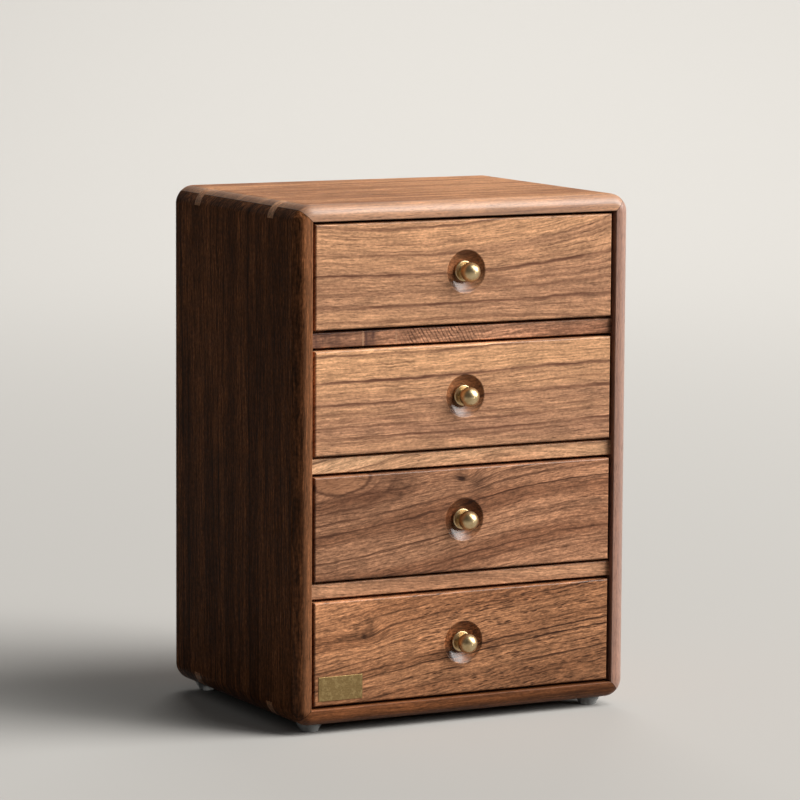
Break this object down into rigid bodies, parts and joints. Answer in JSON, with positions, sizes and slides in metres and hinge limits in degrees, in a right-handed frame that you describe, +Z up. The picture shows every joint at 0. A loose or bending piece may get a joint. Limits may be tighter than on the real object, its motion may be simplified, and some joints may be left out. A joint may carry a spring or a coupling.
{
  "type": "drawer jewellery box",
  "caption": "Upright wooden jewellery box: a mitred, rounded carcass with stacked sliding drawers, each pulled by a ball knob set in a dished recess.",
  "frame": {"origin": "on the table, under the middle of the whole object, knobs included", "axes": "+Z up, -Y out of the drawer fronts, +X to the right of someone who faces the drawers"},
  "size_m": [0.2, 0.1646, 0.28],
  "materials": {
    "walnut": "oiled walnut, satin",
    "light_wood": "oiled pale hardwood, satin",
    "drawer_wood": "sanded walnut, matt",
    "panel_wood": "veneered panel, matt",
    "brass": "satin turned brass",
    "screw_steel": "zinc plated",
    "felt": "short felt nap",
    "clear_silicone": "clear, soft gloss"
  },
  "bodies": {
    "carcass": {"back_panel": "panel_wood", "bottom_panel": "walnut", "corner_splines": "light_wood", "divider_1": "walnut", "divider_2": "walnut", "divider_3": "walnut", "foot_back_left": "clear_silicone", "foot_back_right": "clear_silicone", "foot_front_left": "clear_silicone", "foot_front_right": "clear_silicone", "left_side": "walnut", "right_side": "walnut", "top_panel": "walnut"},
    "drawer_1": {"drawer_1_back": "drawer_wood", "drawer_1_bottom": "panel_wood", "drawer_1_front": "walnut", "drawer_1_knob": "brass", "drawer_1_left_side": "drawer_wood", "drawer_1_liner": "felt", "drawer_1_right_side": "drawer_wood", "drawer_1_screw": "screw_steel"},
    "drawer_2": {"drawer_2_back": "drawer_wood", "drawer_2_bottom": "panel_wood", "drawer_2_front": "walnut", "drawer_2_knob": "brass", "drawer_2_left_side": "drawer_wood", "drawer_2_liner": "felt", "drawer_2_right_side": "drawer_wood", "drawer_2_screw": "screw_steel"},
    "drawer_3": {"drawer_3_back": "drawer_wood", "drawer_3_bottom": "panel_wood", "drawer_3_front": "walnut", "drawer_3_knob": "brass", "drawer_3_left_side": "drawer_wood", "drawer_3_liner": "felt", "drawer_3_right_side": "drawer_wood", "drawer_3_screw": "screw_steel"},
    "drawer_4": {"drawer_4_back": "drawer_wood", "drawer_4_bottom": "panel_wood", "drawer_4_front": "walnut", "drawer_4_knob": "brass", "drawer_4_left_side": "drawer_wood", "drawer_4_liner": "felt", "drawer_4_plate": "brass", "drawer_4_right_side": "drawer_wood", "drawer_4_screw": "screw_steel"}
  },
  "joints": [
    {"name": "drawer_1_slide", "type": "slide", "parent": "carcass", "child": "drawer_1", "axis": [0, -1, 0], "range_m": [0, 0.1]},
    {"name": "drawer_2_slide", "type": "slide", "parent": "carcass", "child": "drawer_2", "axis": [0, -1, 0], "range_m": [0, 0.1]},
    {"name": "drawer_3_slide", "type": "slide", "parent": "carcass", "child": "drawer_3", "axis": [0, -1, 0], "range_m": [0, 0.1]},
    {"name": "drawer_4_slide", "type": "slide", "parent": "carcass", "child": "drawer_4", "axis": [0, -1, 0], "range_m": [0, 0.1]}
  ]
}
